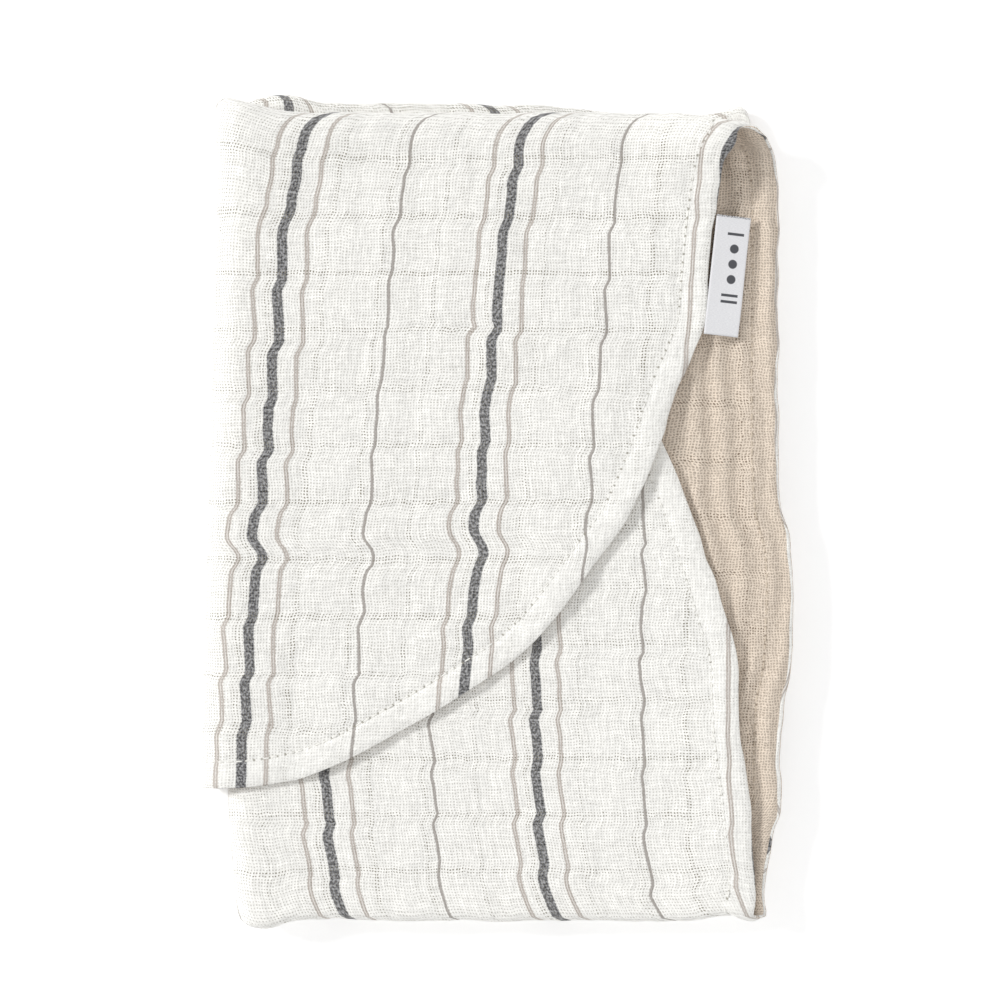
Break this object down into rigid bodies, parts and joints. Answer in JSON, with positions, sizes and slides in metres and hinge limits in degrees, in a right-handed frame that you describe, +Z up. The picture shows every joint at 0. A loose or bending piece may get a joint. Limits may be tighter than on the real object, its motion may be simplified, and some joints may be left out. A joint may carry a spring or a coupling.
{
  "type": "folded gauze wrap cloth",
  "caption": "Two-layer cotton gauze wrap cloth with round ends, striped outside and plain inside, folded flat, with a loop label.",
  "frame": {"origin": "bottom centre of the folded pack's box, on the surface it lies on", "axes": "+Z up; +Y towards the top crosswise fold, along the pack's length; -X towards the lengthwise fold, +X towards the hems"},
  "size_m": [0.1652, 0.2288, 0.0148],
  "materials": {
    "striped_gauze": "crinkled open-weave cotton gauze, off-white with heathered charcoal and thin taupe stripes",
    "lining_gauze": "crinkled open-weave cotton gauze, plain beige",
    "thread": "matt sewing thread",
    "label_satin": null
  },
  "bodies": {
    "lower_half": {"face_base_lower": "striped_gauze", "lining_base_lower": "lining_gauze", "topstitch_base_lower": "thread", "face_bottom_flap_lower": "striped_gauze", "lining_bottom_flap_lower": "lining_gauze", "topstitch_bottom_flap_lower": "thread", "face_top_flap_lower": "striped_gauze", "lining_top_flap_lower": "lining_gauze", "topstitch_top_flap_lower": "thread"},
    "upper_half": {"face_base_upper": "striped_gauze", "lining_base_upper": "lining_gauze", "topstitch_base_upper": "thread", "face_bottom_flap_upper": "striped_gauze", "lining_bottom_flap_upper": "lining_gauze", "topstitch_bottom_flap_upper": "thread", "face_top_flap_upper": "striped_gauze", "lining_top_flap_upper": "lining_gauze", "topstitch_top_flap_upper": "thread"},
    "label": {"label_loop": "label_satin"}
  },
  "joints": [
    {"name": "lengthwise_fold", "type": "hinge", "parent": "lower_half", "child": "upper_half", "pos_m": [-0.0844, 0, 0.0074], "axis": [0, -1, 0], "range_deg": [0, 178]},
    {"name": "label_turn", "type": "hinge", "parent": "upper_half", "child": "label", "pos_m": [0.05829, 0.04991, 0.0137], "axis": [-0.1082, -0.9941, 0], "range_deg": [0, 105]}
  ]
}
